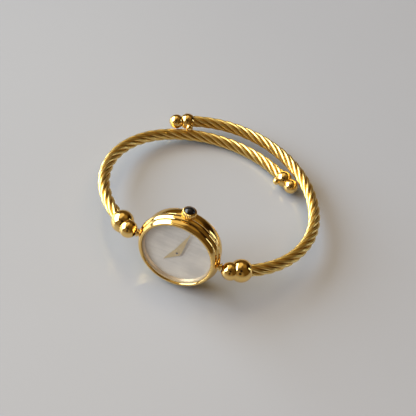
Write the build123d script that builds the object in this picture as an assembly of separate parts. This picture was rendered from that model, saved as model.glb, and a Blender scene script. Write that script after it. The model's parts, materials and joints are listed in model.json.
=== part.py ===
from build123d import *
import math
import os

# A ladies' bangle watch: a small round quartz watch whose two arms are twisted cables with ball ends.
# Lengths are in millimetres and angles in degrees.
# Dial frame: X to 3 o'clock, Y to 12 o'clock, Z out of the dial, origin at the middle of the case.
# Bangle frame: X from the 12 o'clock lug to the 6 o'clock lug, Y from the dial to the wrist, Z to the crown.
# The finished part lies on its case and its arms, with +Z up and the dial towards -Y.

# Clearances shared by every piece
fit_gap = 0.02
running_gap = 0.03
pivot_gap = 0.03
overrun = 1.0

# Case, from the movement outwards and from the front to the back: a rounded bezel, a rib and a back ring
plate_radius = 8.6
plate_gap = 0.05
movement_ring_width = 1.05
case_wall = 1.5
back_ring_swell = 0.3
rib_step = 0.5
rib_swell = 0.5
front_height = 3.7
bezel_height = 1.7
bezel_groove_height = 0.06
rib_height = 2.1
back_step_height = 0.1
back_ring_height = 3.15
neck_level = 1.0

cavity_radius = plate_radius + plate_gap + movement_ring_width
back_ring_radius = cavity_radius + case_wall
back_ring_crest_radius = back_ring_radius + back_ring_swell
rib_foot_radius = back_ring_radius + rib_step
rib_crest_radius = rib_foot_radius + rib_swell
bezel_bottom = front_height - bezel_height
rib_top = bezel_bottom - bezel_groove_height
rib_bottom = rib_top - rib_height
rib_level = (rib_top + rib_bottom) / 2
back_ring_top = rib_bottom - back_step_height
back_face = back_ring_top - back_ring_height

# Bezel, crystal, dial and the flange ring between them
dial_ledge = 0.6
rim_width = 0.9
rim_fall = 0.35
bezel_flank_swell = 0.15
bezel_skirt_wall = 0.15
crystal_edge_gap = 0.18
crystal_thickness = 0.7
crystal_drop = 0.25
crystal_bevel = 0.15
crystal_gasket_height = 0.5
flange_wall = 0.2
flange_reach = 0.48
dial_edge_gap = 0.1
dial_thickness = 0.4
dial_top = 2.0
dial_hole_radius = 0.8
dial_foot_radius = 0.3
dial_foot_length = 1.3
dial_foot_circle_radius = 7.6
dial_foot_bearings = (45.0, 225.0)

bezel_bore_radius = cavity_radius + dial_ledge
bezel_skirt_radius = bezel_bore_radius + bezel_skirt_wall
rim_radius = bezel_bore_radius + rim_width
rim_shoulder = front_height - rim_fall
crystal_radius = bezel_bore_radius - crystal_edge_gap
crystal_top = front_height - crystal_drop
crystal_bottom = crystal_top - crystal_thickness
flange_outer_radius = bezel_bore_radius - fit_gap
dial_opening_radius = bezel_bore_radius - flange_reach
dial_radius = bezel_bore_radius - dial_edge_gap
dial_bottom = dial_top - dial_thickness

# Case back, pressed into the case over a gasket
back_flange = 0.75
back_thickness = 0.4
back_bevel = 0.15
back_lip_wall = 0.36
back_lip_height = 0.8
back_gasket_width = 0.3
back_gasket_height = 0.25
knife_notch_width = 2.4
knife_notch_depth = 0.35
knife_notch_bearing = 100.0

back_radius = cavity_radius + back_flange
back_outer_face = back_face - back_thickness

# Movement: main plate, bridge and circuit board
plate_top = 0.9
plate_bottom = -1.0
bridge_thickness = 0.35
bridge_inset = 0.4
bridge_edge = -0.4
board_edge = -1.15
ring_ledge_width = 0.35
ring_height_gap = 0.05

bridge_radius = plate_radius - bridge_inset
ring_inner_radius = plate_radius + plate_gap
ring_ledge_radius = ring_inner_radius - ring_ledge_width
bridge_bottom = plate_bottom - bridge_thickness

# Gear train: 90 rotor turns make one turn of the minute hand
train_module = 0.1
addendum_share = 0.8
dedendum_share = 1.1
tooth_tip_share = 0.22
tooth_root_share = 0.62
rotor_teeth = 8
intermediate_wheel_teeth = 40
intermediate_pinion_teeth = 8
third_wheel_teeth = 36
third_pinion_teeth = 10
centre_wheel_teeth = 40
cannon_teeth = 12
minute_wheel_teeth = 36
minute_pinion_teeth = 10
hour_wheel_teeth = 40
third_bearing = 150.0
intermediate_bearing = 75.0
rotor_bearing = 22.5
minute_wheel_bearing = 20.0

wheel_thickness = 0.2
centre_wheel_level = 0.0
third_pinion_overlap = 0.05
third_wheel_level = -0.35
intermediate_pinion_overlap = 0.07
intermediate_wheel_level = -0.75
train_pocket_top = 0.3
pocket_margin = 0.3
arbor_radius = 0.1
pivot_radius = 0.08
pivot_length = 0.25
arbor_end_gap = 0.1
centre_arbor_radius = 0.3
rotor_magnet_radius = 0.6
rotor_magnet_bottom = -0.45
rotor_magnet_height = 0.5

# Motion work under the dial, and the hands
cannon_level = 0.95
cannon_height = 0.25
minute_wheel_level = 0.97
minute_wheel_thickness = 0.15
minute_pinion_height = 0.33
hour_wheel_level = 1.23
hour_wheel_thickness = 0.17
hour_pipe_wall = 0.22
minute_post_radius = 0.18
minute_post_height = 0.6
hour_hand_level = 2.18
minute_hand_level = 2.46
hand_thickness = 0.1
cannon_tip_height = 0.08
hour_hand_length = 5.6
minute_hand_length = 9.25
hand_half_width = 1.1
hand_shoulder = 0.6
hour_hand_tail = 1.4
minute_hand_tail = 1.2
hand_hub_radius = 1.0
hour_hand_angle = 309.0
minute_hand_angle = 105.6

# Stepping motor
stator_bottom = -0.5
stator_thickness = 0.3
stator_half_length = 4.2
stator_low_edge = 3.65
stator_high_edge = 5.35
stator_arm_width = 0.7
rotor_hole_radius = 0.75
stator_notch_radius = 0.65
coil_line = 6.3
core_width = 0.8
core_height = 0.4
winding_radius = 0.65
winding_length = 5.6
motor_pocket_margin = 0.1
motor_pocket_top = 0.7
pad_radius = 0.35

# Battery, quartz can and chip
battery_radius = 2.9
battery_thickness = 1.25
battery_place_shares = (-0.442, -0.395)
battery_step = 0.3
battery_top = -0.65
battery_pocket_gap = 0.05
clamp_thickness = 0.2
clamp_width = 1.2
clamp_reach = 4.9
clamp_bearing = -19.5
clamp_foot_radius = 0.6
can_radius = 0.6
can_length = 4.0
can_edge_round = 0.2
can_place_shares = (0.43, -0.616)
chip_size = 1.7
chip_height = 0.4
chip_place_shares = (0.29, -0.326)
screw_head_radius = 0.55
screw_head_height = 0.3
screw_shank_radius = 0.28
screw_depth = 1.2
screw_slot_width = 0.16
screw_slot_depth = 0.12
left_screw_place_shares = (-0.767, 0.233)
right_screw_place_shares = (0.721, 0.279)
board_screw_place_shares = (0.663, -0.36)

# Crown, stem and the pieces that it moves
crown_level = -0.4
crown_radius = 2.05
crown_gap = 0.1
crown_height = 1.75
crown_base_round = 0.4
crown_top_round = 0.42
crown_flutes = 24
flute_radius = 0.16
crown_recess_radius = 1.35
crown_recess_depth = 0.9
cabochon_radius = 1.5
cabochon_height = 1.25
cabochon_seat_depth = 0.45
tube_radius = 1.0
tube_bore_radius = 0.55
tube_inset = 0.15
tube_end_gap = 0.1
crown_gasket_height = 0.3
crown_gasket_start = 0.1
stem_radius = 0.4
stem_thread_length = 0.25
pilot_radius = 0.2
pilot_start = 3.0
square_start = 4.2
square_side = 0.5
collar_start = 6.4
groove_start = 7.0
groove_end = 7.5
groove_bottom_radius = 0.25
pinion_start = 5.2
pinion_length = 0.8
pinion_radius = 0.55
crown_pull = 0.8
puller_start = 6.6
puller_reach = 1.8
puller_half_width = 0.6
puller_thickness = 0.16
puller_tab_gap = 0.05

crown_base = rib_crest_radius + crown_gap
crown_tip = crown_base + crown_height
tube_inner_end = cavity_radius + tube_inset
tube_outer_end = crown_base + crown_recess_depth - tube_end_gap
stem_end = crown_base + crown_recess_depth + stem_thread_length

# Lugs: a neck with a tongue, hinged in the small bead of each pair
neck_radius = 0.92
neck_root = 0.95
neck_collar_radius = 1.3
neck_collar_width = 0.28
neck_end_gap = 0.08
knuckle_gap = 0.67
knuckle_radius = 2.63
ferrule_step = 2.62
ferrule_set_back = 0.78
ferrule_radius = 3.33
hinge_pin_radius = 0.3
hinge_pin_half_length = 1.9
tongue_half_height = 0.55
tongue_half_width = 0.55
tongue_eye_radius = 0.78
tongue_gap = 0.06
arm_swing = 20.0
slot_steps = 5
swing_margin = 3.0

# Arms: heading of the cable at its ferrule, then the radius and sweep of each of its three bends
left_heading = 28.0
left_front_bend_radius = 26.6
left_side_bend_radius = 25.2
left_rear_bend_radius = 32.9
left_sweep_angles = (62.0, 47.6, 78.2)
left_rise_angle = 0.0
right_heading = 28.0
right_front_bend_radius = 26.2
right_side_bend_radius = 34.8
right_rear_bend_radius = 31.9
right_sweep_angles = (77.9, 41.6, 65.5)
right_rise_angle = 3.45

# Cable: one core wire and six strands laid round it
cable_radius = 1.8
strand_count = 6
lay_angle = 21.3
strand_gap = 0.05
bore_gap = 0.06
turn_steps = 4
tangent_share = 0.01

# Ball ends
end_bead_radius = 2.55
tip_bead_radius = 2.25
tip_bead_reach = 3.7
end_ball_radius = 1.15
end_ball_reach = 2.95

# Places in the movement, as shares of the plate's radius
def on_plate(shares):
    return (shares[0] * plate_radius, shares[1] * plate_radius)


battery_place = on_plate(battery_place_shares)
can_place = on_plate(can_place_shares)
chip_place = on_plate(chip_place_shares)
bridge_screw_places = (on_plate(left_screw_place_shares), on_plate(right_screw_place_shares))
board_screw_place = on_plate(board_screw_place_shares)

# Places along the necks and the arms
neck_seat = cavity_radius + neck_root
knuckle_reach = rib_crest_radius + knuckle_gap + knuckle_radius
ferrule_reach = knuckle_reach + ferrule_step
left_bend_radii = (left_front_bend_radius, left_side_bend_radius, left_rear_bend_radius)
right_bend_radii = (right_front_bend_radius, right_side_bend_radius, right_rear_bend_radius)

# The dial frame as seen in the bangle frame
dial_frame = Plane(origin=(0, 0, 0), x_dir=(0, 0, 1), z_dir=(0, -1, 0))
stem_frame = Plane(origin=(0, 0, crown_level), x_dir=(0, 1, 0), z_dir=(1, 0, 0))


# Plain shapes

def disc(radius, low, high, place=(0, 0)):
    """A cylinder on the dial's axis, or at a place in the dial plane."""
    bottom = Pos(place[0], place[1], low)
    return bottom * Cylinder(radius, high - low, align=(Align.CENTER, Align.CENTER, Align.MIN))


def ring(outer, inner, low, high, place=(0, 0)):
    """A disc with a hole right through it."""
    return disc(outer, low, high, place) - disc(inner, low - overrun, high + overrun, place)


def block(low_corner, high_corner):
    """A box between two corners."""
    size = [high - low for low, high in zip(low_corner, high_corner)]
    centre = [(high + low) / 2 for low, high in zip(low_corner, high_corner)]
    return Pos(*centre) * Box(*size)


def turned(edges):
    """A solid of revolution about Z from a closed outline of radius and height."""
    return revolve(Plane.XZ * make_face(Curve() + edges), axis=Axis.Z)


def polar(radius, bearing):
    """A place in the dial plane, at a bearing from 3 o'clock towards 12."""
    angle = math.radians(bearing)
    return (radius * math.cos(angle), radius * math.sin(angle))


def away(place, radius, bearing):
    """A place at a distance and bearing from another."""
    step = polar(radius, bearing)
    return (place[0] + step[0], place[1] + step[1])


def along_stem(shape):
    """Stands a shape made on Z on the stem's line, so that its heights run outwards along it."""
    return stem_frame.location * shape


# Gears

def pitch_radius(teeth, module):
    return teeth * module / 2


def tip_radius(teeth, module):
    return pitch_radius(teeth, module) + addendum_share * module


def gear(teeth, module, low, high, place, first_tooth):
    """A toothed wheel with straight-sided teeth, one of them centred on a bearing."""
    pitch_angle = 360 / teeth
    tip = tip_radius(teeth, module)
    root = pitch_radius(teeth, module) - dedendum_share * module
    corners = []
    for tooth in range(teeth):
        middle = first_tooth + tooth * pitch_angle
        root_half = tooth_root_share * pitch_angle / 2
        tip_half = tooth_tip_share * pitch_angle / 2
        corners += [polar(root, middle - root_half), polar(tip, middle - tip_half)]
        corners += [polar(tip, middle + tip_half), polar(root, middle + root_half)]
    outline = make_face(Polyline(*corners, close=True))
    return Pos(place[0], place[1], low) * extrude(outline, high - low)


def mating_tooth(bearing, teeth, first_tooth, mate_teeth):
    """The bearing of a mating gear's tooth, so that the two are in mesh along the line between them."""
    offset = (bearing - first_tooth) % (360 / teeth)
    return bearing + 180 + offset * teeth / mate_teeth + 180 / mate_teeth


third_distance = pitch_radius(centre_wheel_teeth + third_pinion_teeth, train_module)
intermediate_distance = pitch_radius(third_wheel_teeth + intermediate_pinion_teeth, train_module)
rotor_distance = pitch_radius(intermediate_wheel_teeth + rotor_teeth, train_module)
minute_wheel_distance = pitch_radius(cannon_teeth + minute_wheel_teeth, train_module)
hour_module = 2 * minute_wheel_distance / (minute_pinion_teeth + hour_wheel_teeth)

third_place = polar(third_distance, third_bearing)
intermediate_place = away(third_place, intermediate_distance, intermediate_bearing)
rotor_place = away(intermediate_place, rotor_distance, rotor_bearing)
minute_wheel_place = polar(minute_wheel_distance, minute_wheel_bearing)

third_first_tooth = mating_tooth(third_bearing, centre_wheel_teeth, 0, third_pinion_teeth)
intermediate_first_tooth = mating_tooth(
    intermediate_bearing, third_wheel_teeth, third_first_tooth, intermediate_pinion_teeth)
rotor_first_tooth = mating_tooth(
    rotor_bearing, intermediate_wheel_teeth, intermediate_first_tooth, rotor_teeth)
minute_wheel_first_tooth = mating_tooth(minute_wheel_bearing, cannon_teeth, 0, minute_wheel_teeth)
hour_wheel_first_tooth = mating_tooth(
    minute_wheel_bearing + 180, minute_pinion_teeth, minute_wheel_first_tooth, hour_wheel_teeth)


# Case and its covers, in the dial frame

def rib(top, bottom, foot_radius, crest_radius):
    """The rounded outside of one rib of the case."""
    return ThreePointArc((foot_radius, top), (crest_radius, (top + bottom) / 2), (foot_radius, bottom))


def make_case_band():
    seat = bezel_skirt_radius + fit_gap
    corners = [
        (back_ring_radius, back_face), (cavity_radius, back_face), (cavity_radius, dial_bottom),
        (seat, dial_bottom), (seat, rib_top), (rib_foot_radius, rib_top)]
    step = [(rib_foot_radius, rib_bottom), (back_ring_radius, rib_bottom), (back_ring_radius, back_ring_top)]
    edges = [
        Polyline(*corners),
        rib(rib_top, rib_bottom, rib_foot_radius, rib_crest_radius),
        Polyline(*step),
        rib(back_ring_top, back_face, back_ring_radius, back_ring_crest_radius)]
    band = turned(edges)
    gasket_radius = cavity_radius + back_gasket_width + fit_gap
    band -= disc(gasket_radius, back_face - overrun, back_face + back_gasket_height + fit_gap)
    band -= along_stem(disc(tube_radius + fit_gap, 0, rib_crest_radius + overrun))
    for side in (-1, 1):
        pocket = Plane(origin=(0, 0, neck_level), x_dir=(1, 0, 0), z_dir=(0, side, 0))
        band -= pocket.location * disc(neck_radius + fit_gap, neck_seat - fit_gap, rib_crest_radius + overrun)
    return band


def make_bezel():
    """A rounded rim and a swelling flank over a skirt that stands on the dial's ledge."""
    rim_middle = (bezel_bore_radius + rim_radius) / 2
    flank_middle = (rim_radius + rib_foot_radius) / 2 + bezel_flank_swell
    edges = [
        Polyline((bezel_bore_radius, dial_bottom + fit_gap), (bezel_bore_radius, rim_shoulder)),
        ThreePointArc((bezel_bore_radius, rim_shoulder), (rim_middle, front_height),
                      (rim_radius, rim_shoulder)),
        ThreePointArc((rim_radius, rim_shoulder), (flank_middle, (rim_shoulder + bezel_bottom) / 2),
                      (rib_foot_radius, bezel_bottom)),
        Polyline((rib_foot_radius, bezel_bottom), (bezel_skirt_radius, bezel_bottom),
                 (bezel_skirt_radius, dial_bottom + fit_gap), (bezel_bore_radius, dial_bottom + fit_gap))]
    return turned(edges)


def make_crystal():
    pane = disc(crystal_radius, crystal_bottom, crystal_top)
    return chamfer(pane.edges().group_by(Axis.Z)[-1], crystal_bevel)


def make_crystal_gasket():
    outer = bezel_bore_radius - fit_gap
    return ring(outer, crystal_radius + fit_gap, crystal_bottom, crystal_bottom + crystal_gasket_height)


def make_flange_ring():
    low = dial_top + fit_gap
    high = crystal_bottom - fit_gap
    corners = [(dial_opening_radius, low), (flange_outer_radius, low), (flange_outer_radius, high),
               (flange_outer_radius - flange_wall, high)]
    return turned([Polyline(*corners, close=True)])


def make_dial():
    plate = ring(dial_radius, dial_hole_radius, dial_bottom, dial_top)
    for bearing in dial_foot_bearings:
        foot = polar(dial_foot_circle_radius, bearing)
        plate += disc(dial_foot_radius, dial_bottom - dial_foot_length, dial_bottom, foot)
    return plate


def make_case_back():
    cover = disc(back_radius, back_outer_face, back_face - fit_gap)
    cover = chamfer(cover.edges().group_by(Axis.Z)[0], back_bevel)
    lip_radius = cavity_radius - fit_gap
    lip_top = back_face + back_lip_height
    cover += ring(lip_radius, lip_radius - back_lip_wall, back_face - fit_gap, lip_top)
    notch = block((back_radius - knife_notch_depth, -knife_notch_width / 2, back_outer_face - overrun),
                  (back_radius + overrun, knife_notch_width / 2, back_face - back_thickness / 2))
    return cover - Rot(0, 0, knife_notch_bearing) * notch


def make_case_back_gasket():
    return ring(cavity_radius + back_gasket_width, cavity_radius, back_face, back_face + back_gasket_height)


# Movement, in the dial frame

def make_movement_ring():
    low = back_face + ring_height_gap
    outer = cavity_radius - ring_height_gap
    lip_top = back_face + back_lip_height + ring_height_gap
    lip_inner = cavity_radius - fit_gap - back_lip_wall - ring_height_gap
    holder = disc(outer, lip_top, dial_bottom - ring_height_gap) + disc(lip_inner, low, lip_top)
    holder -= disc(ring_inner_radius, plate_bottom - fit_gap, dial_bottom)
    holder -= disc(ring_ledge_radius, low - overrun, plate_bottom)
    return holder - along_stem(disc(tube_bore_radius, 0, rib_crest_radius))


def train_pockets():
    """Room for the centre, third and intermediate wheels, cut up from the plate's underside."""
    low = plate_bottom - overrun
    centre_room = tip_radius(centre_wheel_teeth, train_module) + pocket_margin
    third_room = tip_radius(third_wheel_teeth, train_module) + pocket_margin
    intermediate_room = tip_radius(intermediate_wheel_teeth, train_module) + pocket_margin
    return [disc(centre_room, low, train_pocket_top), disc(third_room, low, train_pocket_top, third_place),
            disc(intermediate_room, low, train_pocket_top, intermediate_place)]


def make_main_plate():
    plate = disc(plate_radius, plate_bottom, plate_top)
    for pocket in train_pockets():
        plate -= pocket
    reach = stator_half_length + motor_pocket_margin
    plate -= block((-reach, stator_low_edge - motor_pocket_margin, plate_bottom - overrun),
                   (reach, coil_line + winding_radius + motor_pocket_margin, motor_pocket_top))
    pad_low = stator_bottom + stator_thickness + core_height + fit_gap
    for side in (-1, 1):
        plate += disc(pad_radius, pad_low, motor_pocket_top, (side * coil_pad_reach, coil_line))
    plate -= disc(battery_radius + battery_pocket_gap, plate_bottom - overrun,
                  battery_top + battery_pocket_gap, battery_place)
    plate -= disc(centre_arbor_radius + running_gap, plate_bottom, plate_top + overrun)
    for place in (third_place, intermediate_place, rotor_place):
        bearing_roof = plate_top - pivot_length / 2
        plate -= disc(pivot_radius + pivot_gap, plate_bottom, bearing_roof, place)
    for bearing in dial_foot_bearings:
        foot = polar(dial_foot_circle_radius, bearing)
        foot_end = dial_bottom - dial_foot_length - pivot_gap
        plate -= disc(dial_foot_radius + running_gap, foot_end, plate_top + overrun, foot)
    for place in bridge_screw_places + (board_screw_place, clamp_foot_place):
        plate -= disc(screw_shank_radius + fit_gap, plate_bottom - overrun, plate_bottom + screw_depth, place)
    plate += disc(minute_post_radius, plate_top, plate_top + minute_post_height, minute_wheel_place)
    plate -= along_stem(disc(pilot_radius + running_gap, pilot_start - fit_gap, square_start))
    plate -= block((square_start - running_gap, -pinion_radius - pocket_margin, plate_bottom - overrun),
                   (collar_start, pinion_radius + pocket_margin, train_pocket_top))
    plate -= along_stem(disc(stem_radius + running_gap, square_start, plate_radius + overrun))
    plate -= block((puller_start - puller_tab_gap, -puller_reach - puller_tab_gap, plate_bottom - overrun),
                   (groove_end + crown_pull + puller_tab_gap, puller_half_width + puller_tab_gap,
                    train_pocket_top))
    return plate


def bridge_stock(radius, low, high, side):
    """The part of a disc on one side of the movement's dividing line."""
    stock = disc(radius, low, high)
    if side > 0:
        return stock & block((-radius, bridge_edge, low), (radius, radius, high))
    return stock & block((-radius, -radius, low), (radius, board_edge, high))


def make_train_bridge():
    bridge = bridge_stock(bridge_radius, bridge_bottom, plate_bottom, 1)
    half = winding_length / 2 + motor_pocket_margin
    window_low = coil_line - winding_radius - motor_pocket_margin
    window_high = coil_line + winding_radius + motor_pocket_margin
    bridge -= block((-half, window_low, bridge_bottom - overrun), (half, window_high, plate_bottom + overrun))
    for place in ((0, 0), third_place, intermediate_place, rotor_place):
        bridge -= disc(pivot_radius + pivot_gap, bridge_bottom - overrun, plate_bottom + overrun, place)
    for place in bridge_screw_places:
        bridge -= disc(screw_shank_radius + fit_gap, bridge_bottom - overrun, plate_bottom + overrun, place)
    for side in (-1, 1):
        post = (side * coil_pad_reach, coil_line)
        bridge += disc(pad_radius, plate_bottom, stator_bottom - fit_gap, post)
    return bridge


def make_circuit_board():
    board = bridge_stock(bridge_radius, bridge_bottom, plate_bottom, -1)
    board -= disc(battery_radius + battery_pocket_gap, bridge_bottom - overrun, plate_bottom + overrun,
                  battery_place)
    for place in (board_screw_place, clamp_foot_place):
        board -= disc(screw_shank_radius + fit_gap, bridge_bottom - overrun, plate_bottom + overrun, place)
    return board


def make_stator():
    top = stator_bottom + stator_thickness
    arm_end = coil_line + core_width / 2
    plate = block((-stator_half_length, stator_low_edge, stator_bottom),
                  (stator_half_length, stator_high_edge, top))
    for side in (-1, 1):
        near = side * (stator_half_length - stator_arm_width)
        far = side * stator_half_length
        plate += block((min(near, far), stator_low_edge, stator_bottom), (max(near, far), arm_end, top))
    plate -= disc(rotor_hole_radius, stator_bottom - overrun, top + overrun, rotor_place)
    return plate - disc(stator_notch_radius, stator_bottom - overrun, top + overrun, intermediate_place)


def make_coil_core():
    low = stator_bottom + stator_thickness
    return block((-stator_half_length, coil_line - core_width / 2, low),
                 (stator_half_length, coil_line + core_width / 2, low + core_height))


def make_coil_winding():
    axis_height = stator_bottom + stator_thickness + core_height / 2
    frame = Plane(origin=(0, coil_line, axis_height), x_dir=(0, 1, 0), z_dir=(1, 0, 0))
    winding = frame.location * disc(winding_radius, -winding_length / 2, winding_length / 2)
    half_width = core_width / 2 + fit_gap
    half_height = core_height / 2 + fit_gap
    return winding - block((-winding_length, coil_line - half_width, axis_height - half_height),
                           (winding_length, coil_line + half_width, axis_height + half_height))


def make_battery():
    can = disc(battery_radius, battery_top - battery_thickness, battery_top - battery_step, battery_place)
    return can + disc(battery_radius - battery_step, battery_top - battery_step, battery_top, battery_place)


def make_battery_clamp():
    top = battery_top - battery_thickness - fit_gap
    low = top - clamp_thickness
    strip = block((0, -clamp_width / 2, low), (clamp_reach - clamp_foot_radius / 2, clamp_width / 2, top))
    strip = Pos(battery_place[0], battery_place[1], 0) * Rot(0, 0, clamp_bearing) * strip
    strip += disc(clamp_foot_radius, low, bridge_bottom, clamp_foot_place)
    hole_radius = screw_shank_radius + fit_gap
    return strip - disc(hole_radius, low - overrun, bridge_bottom + overrun, clamp_foot_place)


def make_quartz_can():
    frame = Plane(origin=(can_place[0], can_place[1], bridge_bottom - can_radius - fit_gap),
                  x_dir=(0, 1, 0), z_dir=(1, 0, 0))
    can = frame.location * disc(can_radius, -can_length / 2, can_length / 2)
    return fillet(can.edges().filter_by(GeomType.CIRCLE), can_edge_round)


def make_chip():
    half = chip_size / 2
    return block((chip_place[0] - half, chip_place[1] - half, bridge_bottom - chip_height),
                 (chip_place[0] + half, chip_place[1] + half, bridge_bottom))


def screw(place, seat):
    """A slotted screw that enters the plate from the back, its head under a seat."""
    head = disc(screw_head_radius, seat - screw_head_height, seat, place)
    half = screw_slot_width / 2
    floor = seat - screw_head_height + screw_slot_depth
    head -= block((place[0] - screw_head_radius, place[1] - half, floor - overrun),
                  (place[0] + screw_head_radius, place[1] + half, floor))
    return head + disc(screw_shank_radius, seat, plate_bottom + screw_depth - pivot_gap, place)


def make_screws():
    clamp_seat = battery_top - battery_thickness - fit_gap - clamp_thickness
    screws = [screw(place, bridge_bottom) for place in bridge_screw_places]
    screws += [screw(board_screw_place, bridge_bottom), screw(clamp_foot_place, clamp_seat)]
    return Compound(children=screws)


def arbor(place, low, high):
    """A wheel's arbor, with a pivot at each end for the bridge and the plate."""
    shaft = disc(arbor_radius, low, high, place)
    return shaft + disc(pivot_radius, low - pivot_length, high + pivot_length, place)


def make_centre_wheel():
    low = plate_bottom + arbor_end_gap
    top = minute_hand_level + hand_thickness + cannon_tip_height
    level = centre_wheel_level
    wheel = gear(centre_wheel_teeth, train_module, level, level + wheel_thickness, (0, 0), 0)
    wheel += disc(centre_arbor_radius, low, top)
    wheel += disc(pivot_radius, low - pivot_length, low)
    return wheel + gear(cannon_teeth, train_module, cannon_level, cannon_level + cannon_height, (0, 0), 0)


def train_wheel(place, pinion_teeth, pinion_level, pinion_top, wheel_teeth, wheel_level, first_tooth):
    """A wheel and its pinion on one arbor of the train."""
    low = plate_bottom + arbor_end_gap
    high = train_pocket_top - arbor_end_gap / 2
    wheel = arbor(place, low, high)
    wheel += gear(pinion_teeth, train_module, pinion_level, pinion_top, place, first_tooth)
    top = wheel_level + wheel_thickness
    return wheel + gear(wheel_teeth, train_module, wheel_level, top, place, first_tooth)


def make_third_wheel():
    low = third_wheel_level + wheel_thickness
    top = centre_wheel_level + wheel_thickness + third_pinion_overlap
    return train_wheel(third_place, third_pinion_teeth, low, top,
                       third_wheel_teeth, third_wheel_level, third_first_tooth)


def make_intermediate_wheel():
    low = intermediate_wheel_level + wheel_thickness
    top = third_wheel_level + wheel_thickness + intermediate_pinion_overlap
    return train_wheel(intermediate_place, intermediate_pinion_teeth, low, top,
                       intermediate_wheel_teeth, intermediate_wheel_level, intermediate_first_tooth)


def make_rotor():
    low = plate_bottom + arbor_end_gap
    rotor = arbor(rotor_place, low, train_pocket_top - arbor_end_gap / 2)
    magnet_top = rotor_magnet_bottom + rotor_magnet_height
    rotor += disc(rotor_magnet_radius, rotor_magnet_bottom, magnet_top, rotor_place)
    pinion_low = intermediate_wheel_level - fit_gap
    return rotor + gear(rotor_teeth, train_module, pinion_low, rotor_magnet_bottom, rotor_place,
                        rotor_first_tooth)


def make_minute_wheel():
    wheel_top = minute_wheel_level + minute_wheel_thickness
    wheel = gear(minute_wheel_teeth, train_module, minute_wheel_level, wheel_top, minute_wheel_place,
                 minute_wheel_first_tooth)
    wheel += gear(minute_pinion_teeth, hour_module, wheel_top, wheel_top + minute_pinion_height,
                  minute_wheel_place, minute_wheel_first_tooth)
    return wheel - disc(minute_post_radius + running_gap, plate_top, crystal_top, minute_wheel_place)


def hour_pipe_radius():
    return centre_arbor_radius + running_gap + hour_pipe_wall


def make_hour_wheel():
    wheel = gear(hour_wheel_teeth, hour_module, hour_wheel_level, hour_wheel_level + hour_wheel_thickness,
                 (0, 0), hour_wheel_first_tooth)
    wheel += disc(hour_pipe_radius(), hour_wheel_level, hour_hand_level + hand_thickness)
    return wheel - disc(centre_arbor_radius + running_gap, hour_wheel_level - overrun, crystal_top)


def hand(length, tail, level, angle, bore):
    """A tapering hand with a round hub, at an angle clockwise from 12 o'clock."""
    corners = [(-tail, 0), (hand_shoulder, hand_half_width), (length, 0), (hand_shoulder, -hand_half_width)]
    blade = extrude(make_face(Polyline(*corners, close=True)), hand_thickness)
    blade = Pos(0, 0, level) * Rot(0, 0, 90 - angle) * blade
    blade += disc(hand_hub_radius, level, level + hand_thickness)
    return blade - disc(bore, level - overrun, level + overrun)


def make_hour_hand():
    bore = hour_pipe_radius() + fit_gap
    return hand(hour_hand_length, hour_hand_tail, hour_hand_level, hour_hand_angle, bore)


def make_minute_hand():
    bore = centre_arbor_radius + fit_gap
    return hand(minute_hand_length, minute_hand_tail, minute_hand_level, minute_hand_angle, bore)


# Crown and stem, along the stem's line in the dial frame

def make_crown_tube():
    return along_stem(ring(tube_radius, tube_bore_radius, tube_inner_end, tube_outer_end))


def make_crown():
    head = disc(crown_radius, crown_base, crown_tip)
    head = fillet(head.edges().filter_by(GeomType.CIRCLE).group_by(Axis.Z)[0], crown_base_round)
    head = fillet(head.edges().filter_by(GeomType.CIRCLE).group_by(Axis.Z)[-1], crown_top_round)
    for flute in range(crown_flutes):
        place = polar(crown_radius, flute * 360 / crown_flutes)
        head -= disc(flute_radius, crown_base - overrun, crown_tip - cabochon_seat_depth, place)
    head -= disc(crown_recess_radius, crown_base - overrun, crown_base + crown_recess_depth)
    head -= disc(stem_radius + fit_gap, crown_base, stem_end + fit_gap)
    return along_stem(head - disc(cabochon_radius + fit_gap, crown_tip - cabochon_seat_depth,
                                  crown_tip + overrun))


def make_cabochon():
    low = crown_tip - cabochon_seat_depth
    top = low + cabochon_height
    dome_height = cabochon_height - cabochon_seat_depth
    dome_radius = (cabochon_radius ** 2 + dome_height ** 2) / (2 * dome_height)
    stone = disc(cabochon_radius, low, top)
    return along_stem(stone & (Pos(0, 0, top - dome_radius) * Sphere(dome_radius)))


def make_crown_gasket():
    low = crown_base + crown_gasket_start
    outer = crown_recess_radius - fit_gap
    return along_stem(ring(outer, tube_radius + fit_gap, low, low + crown_gasket_height))


def make_stem():
    half = square_side / 2
    stem = disc(pilot_radius, pilot_start, square_start)
    stem += block((-half, -half, square_start), (half, half, collar_start))
    stem += disc(stem_radius, collar_start, groove_start)
    stem += disc(groove_bottom_radius, groove_start, groove_end)
    return along_stem(stem + disc(stem_radius, groove_end, stem_end))


def make_sliding_pinion():
    half = square_side / 2 + running_gap
    pinion = disc(pinion_radius, pinion_start, pinion_start + pinion_length)
    return along_stem(pinion - block((-half, -half, square_start), (half, half, collar_start)))


def make_pull_out_piece():
    low = plate_bottom + fit_gap
    tab_start = groove_start + puller_tab_gap
    tab_end = groove_end - puller_tab_gap
    piece = block((puller_start, -puller_reach, low), (tab_end, puller_half_width, low + puller_thickness))
    piece += block((tab_start, -puller_half_width, low), (tab_end, puller_half_width, crown_level))
    notch_radius = groove_bottom_radius + running_gap
    return piece - along_stem(disc(notch_radius, groove_start, groove_end))


# Lugs and arms, in the bangle frame

left_arm = {"side": -1, "heading": left_heading, "rise": left_rise_angle,
            "bends": tuple(zip(left_bend_radii, left_sweep_angles))}
right_arm = {"side": 1, "heading": right_heading, "rise": right_rise_angle,
             "bends": tuple(zip(right_bend_radii, right_sweep_angles))}


def knuckle_place(arm):
    return Vector(arm["side"] * knuckle_reach, -neck_level, 0)


def ferrule_place(arm):
    return Vector(arm["side"] * ferrule_reach, ferrule_set_back, 0)


def arm_length(arm):
    return sum(radius * math.radians(sweep) for radius, sweep in arm["bends"])


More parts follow.
